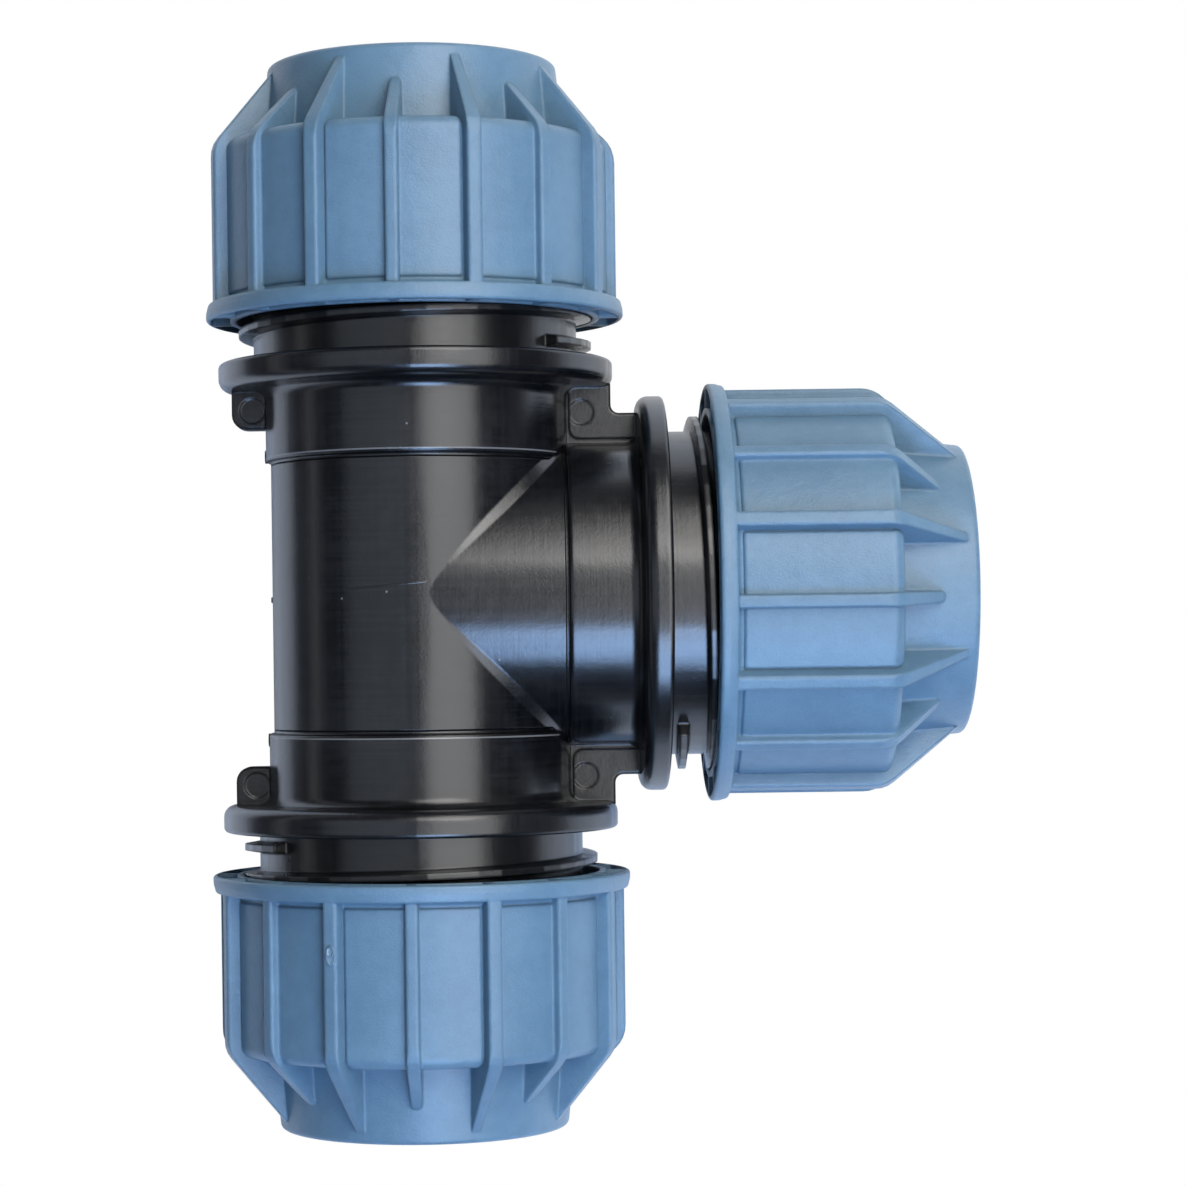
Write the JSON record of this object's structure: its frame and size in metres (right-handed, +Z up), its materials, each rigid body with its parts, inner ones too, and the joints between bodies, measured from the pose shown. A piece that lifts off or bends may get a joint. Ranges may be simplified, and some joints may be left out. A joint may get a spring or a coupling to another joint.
{
  "type": "pipe tee",
  "caption": "Equal compression tee for plastic pressure pipe: black moulded body, ribbed blue union nuts on coarse threads, with grip rings, bushes and O-rings inside.",
  "frame": {"origin": "centre of the bounding box's bottom: the tee lies on its three nut rims, and the axes of its ports are one rim radius above the origin", "axes": "+Y along the run, +X along the branch, +Z up, square to the plane of the three ports"},
  "size_m": [0.2052, 0.2889, 0.114],
  "materials": {
    "black_body": "satin black moulded polypropylene",
    "blue_nut": "satin light blue moulded polypropylene with a fine grain",
    "white_ring": "plain white moulded acetal",
    "dark_bush": "plain dark moulded polypropylene",
    "seal_rubber": "matt black nitrile rubber"
  },
  "bodies": {
    "tee": {"body": "black_body", "bush_run_a": "dark_bush", "bush_run_b": "dark_bush", "bush_branch": "dark_bush", "o_ring_run_a": "seal_rubber", "o_ring_run_b": "seal_rubber", "o_ring_branch": "seal_rubber"},
    "ring_run_a": {"grip_ring_run_a": "white_ring"},
    "nut_run_a": {"nut_run_a": "blue_nut"},
    "ring_run_b": {"grip_ring_run_b": "white_ring"},
    "nut_run_b": {"nut_run_b": "blue_nut"},
    "ring_branch": {"grip_ring_branch": "white_ring"},
    "nut_branch": {"nut_branch": "blue_nut"}
  },
  "joints": [
    {"name": "nut_turn_run_a", "type": "hinge", "parent": "ring_run_a", "child": "nut_run_a", "pos_m": [-0.04559, 0.09, 0.057], "axis": [0, 1, 0], "range_deg": [-476.9, 1080]},
    {"name": "ring_slide_run_a", "type": "slide", "parent": "tee", "child": "ring_run_a", "axis": [0, 1, 0], "range_m": [-0.01062, 0.02402]},
    {"name": "nut_turn_run_b", "type": "hinge", "parent": "ring_run_b", "child": "nut_run_b", "pos_m": [-0.04559, -0.09, 0.057], "axis": [0, -1, 0], "range_deg": [-483.2, 1080]},
    {"name": "ring_slide_run_b", "type": "slide", "parent": "tee", "child": "ring_run_b", "axis": [0, -1, 0], "range_m": [-0.01076, 0.02402]},
    {"name": "nut_turn_branch", "type": "hinge", "parent": "ring_branch", "child": "nut_branch", "pos_m": [0.04801, 0, 0.057], "axis": [1, 0, 0], "range_deg": [-485.3, 1080]},
    {"name": "ring_slide_branch", "type": "slide", "parent": "tee", "child": "ring_branch", "axis": [1, 0, 0], "range_m": [-0.0108, 0.02402]}
  ],
  "couplings": [
    {"joint": "ring_slide_run_a", "follows": "nut_turn_run_a", "m_per_rad": 0.0012732},
    {"joint": "ring_slide_run_b", "follows": "nut_turn_run_b", "m_per_rad": 0.0012732},
    {"joint": "ring_slide_branch", "follows": "nut_turn_branch", "m_per_rad": 0.0012732}
  ]
}
